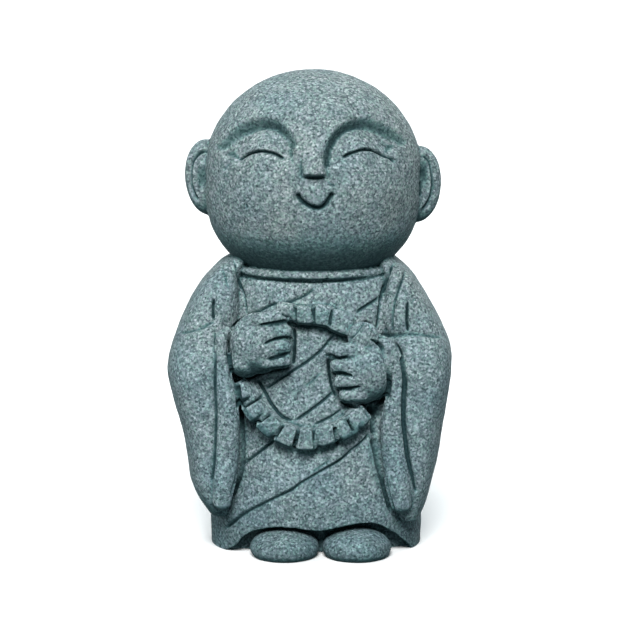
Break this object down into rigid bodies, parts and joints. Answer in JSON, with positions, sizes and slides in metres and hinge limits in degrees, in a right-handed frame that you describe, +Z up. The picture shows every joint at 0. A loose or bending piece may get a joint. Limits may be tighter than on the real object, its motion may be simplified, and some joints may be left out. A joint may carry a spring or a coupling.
{
  "type": "monk statue",
  "caption": "Small carved granite statue of a round-headed monk in robes, both hands holding a string of prayer beads.",
  "frame": {"origin": "on the flat underside, in the middle of the figure's bounds seen from above", "axes": "+Z up through the head, -Y the way the face looks, +X towards the figure's left arm"},
  "size_m": [0.1075, 0.0786, 0.18],
  "materials": {
    "granite": "fine-grained grey-green granite, bush-hammered matt, darker in the carved grooves"
  },
  "bodies": {
    "root": {"monk_statue": "granite"}
  },
  "joints": []
}
